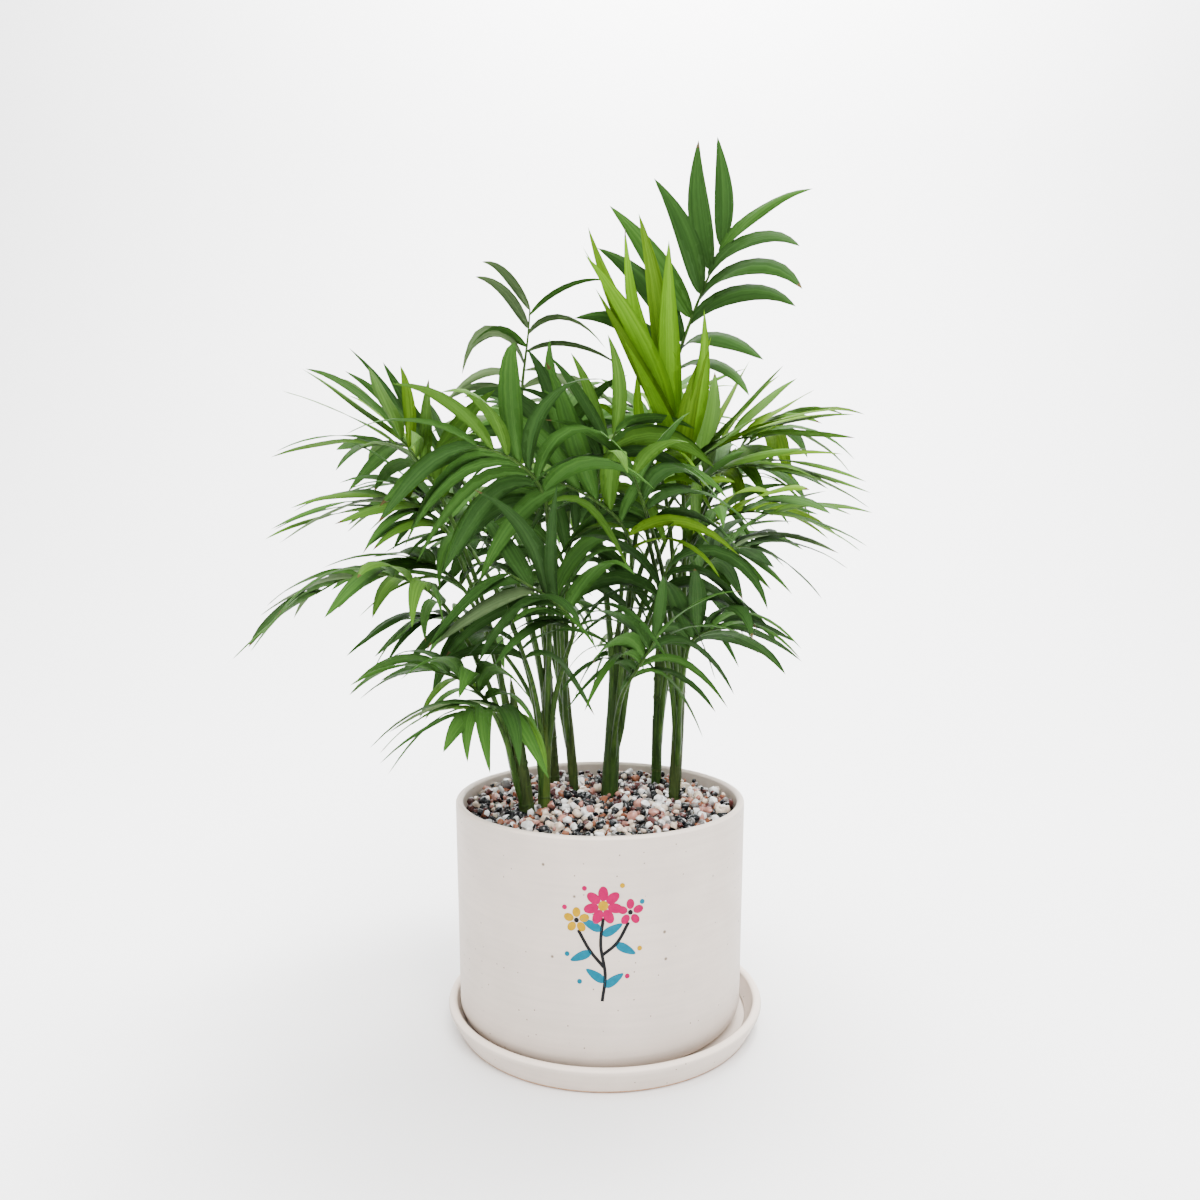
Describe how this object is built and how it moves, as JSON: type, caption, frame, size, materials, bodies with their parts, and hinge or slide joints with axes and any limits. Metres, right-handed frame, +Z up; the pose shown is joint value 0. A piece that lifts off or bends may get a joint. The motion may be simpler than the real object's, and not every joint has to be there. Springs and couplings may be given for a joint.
{
  "type": "potted parlour palm",
  "caption": "Small indoor palm: a clump of short canes with feather fronds, standing in a gravel-topped round pot on a saucer.",
  "frame": {"origin": "on the pot's axis, in the plane of the saucer's flat underside", "axes": "+Z up, +X to the right and +Y away from the viewer of the plant's front, where the front fronds open"},
  "size_m": [0.3305, 0.3145, 0.4513],
  "materials": {
    "pot": "matte",
    "saucer": "matte",
    "gravel": "matte",
    "cane": "satin",
    "leaf_young": "satin",
    "leaf_fresh": "satin",
    "leaf_middle": "satin",
    "leaf_dark": "satin"
  },
  "bodies": {
    "root": {"saucer": "saucer", "pot": "pot", "gravel_bed": "gravel", "cane_left": "cane", "cane_left_twin": "cane", "cane_slim": "cane", "cane_centre": "cane", "cane_right": "cane", "cane_right_back": "cane", "cane_back": "cane", "cane_far": "cane", "frond_top_right": "leaf_fresh", "frond_spear": "leaf_young", "frond_top_left": "leaf_dark", "frond_young_low": "leaf_young", "frond_right_young": "leaf_young", "frond_centre": "leaf_dark", "frond_left_up": "leaf_fresh", "frond_left_high": "leaf_middle", "frond_left_mid": "leaf_middle", "frond_left_low": "leaf_middle", "frond_left_droop": "leaf_middle", "frond_left_foot": "leaf_middle", "frond_left_fan": "leaf_middle", "frond_front_left": "leaf_fresh", "frond_front_bright": "leaf_fresh", "frond_front_mid": "leaf_dark", "frond_right_high": "leaf_fresh", "frond_right_mid": "leaf_middle", "frond_right_low": "leaf_dark", "frond_right_foot": "leaf_dark", "frond_front_right": "leaf_dark", "frond_front_low": "leaf_dark", "frond_front_top": "leaf_middle", "frond_front_edge": "leaf_middle", "frond_front_foot": "leaf_dark", "frond_left_inner": "leaf_dark", "frond_middle_inner": "leaf_dark", "frond_right_inner": "leaf_middle", "frond_back_top": "leaf_fresh", "frond_back_high": "leaf_middle", "frond_back_left": "leaf_middle", "frond_back_middle": "leaf_middle", "frond_back_right": "leaf_middle", "frond_back_edge": "leaf_fresh", "frond_back_low": "leaf_dark", "frond_back_low_left": "leaf_dark", "frond_back_low_right": "leaf_dark", "frond_back_foot": "leaf_dark", "frond_far_right": "leaf_dark", "frond_far_left": "leaf_dark", "frond_far_top": "leaf_middle"}
  },
  "joints": []
}
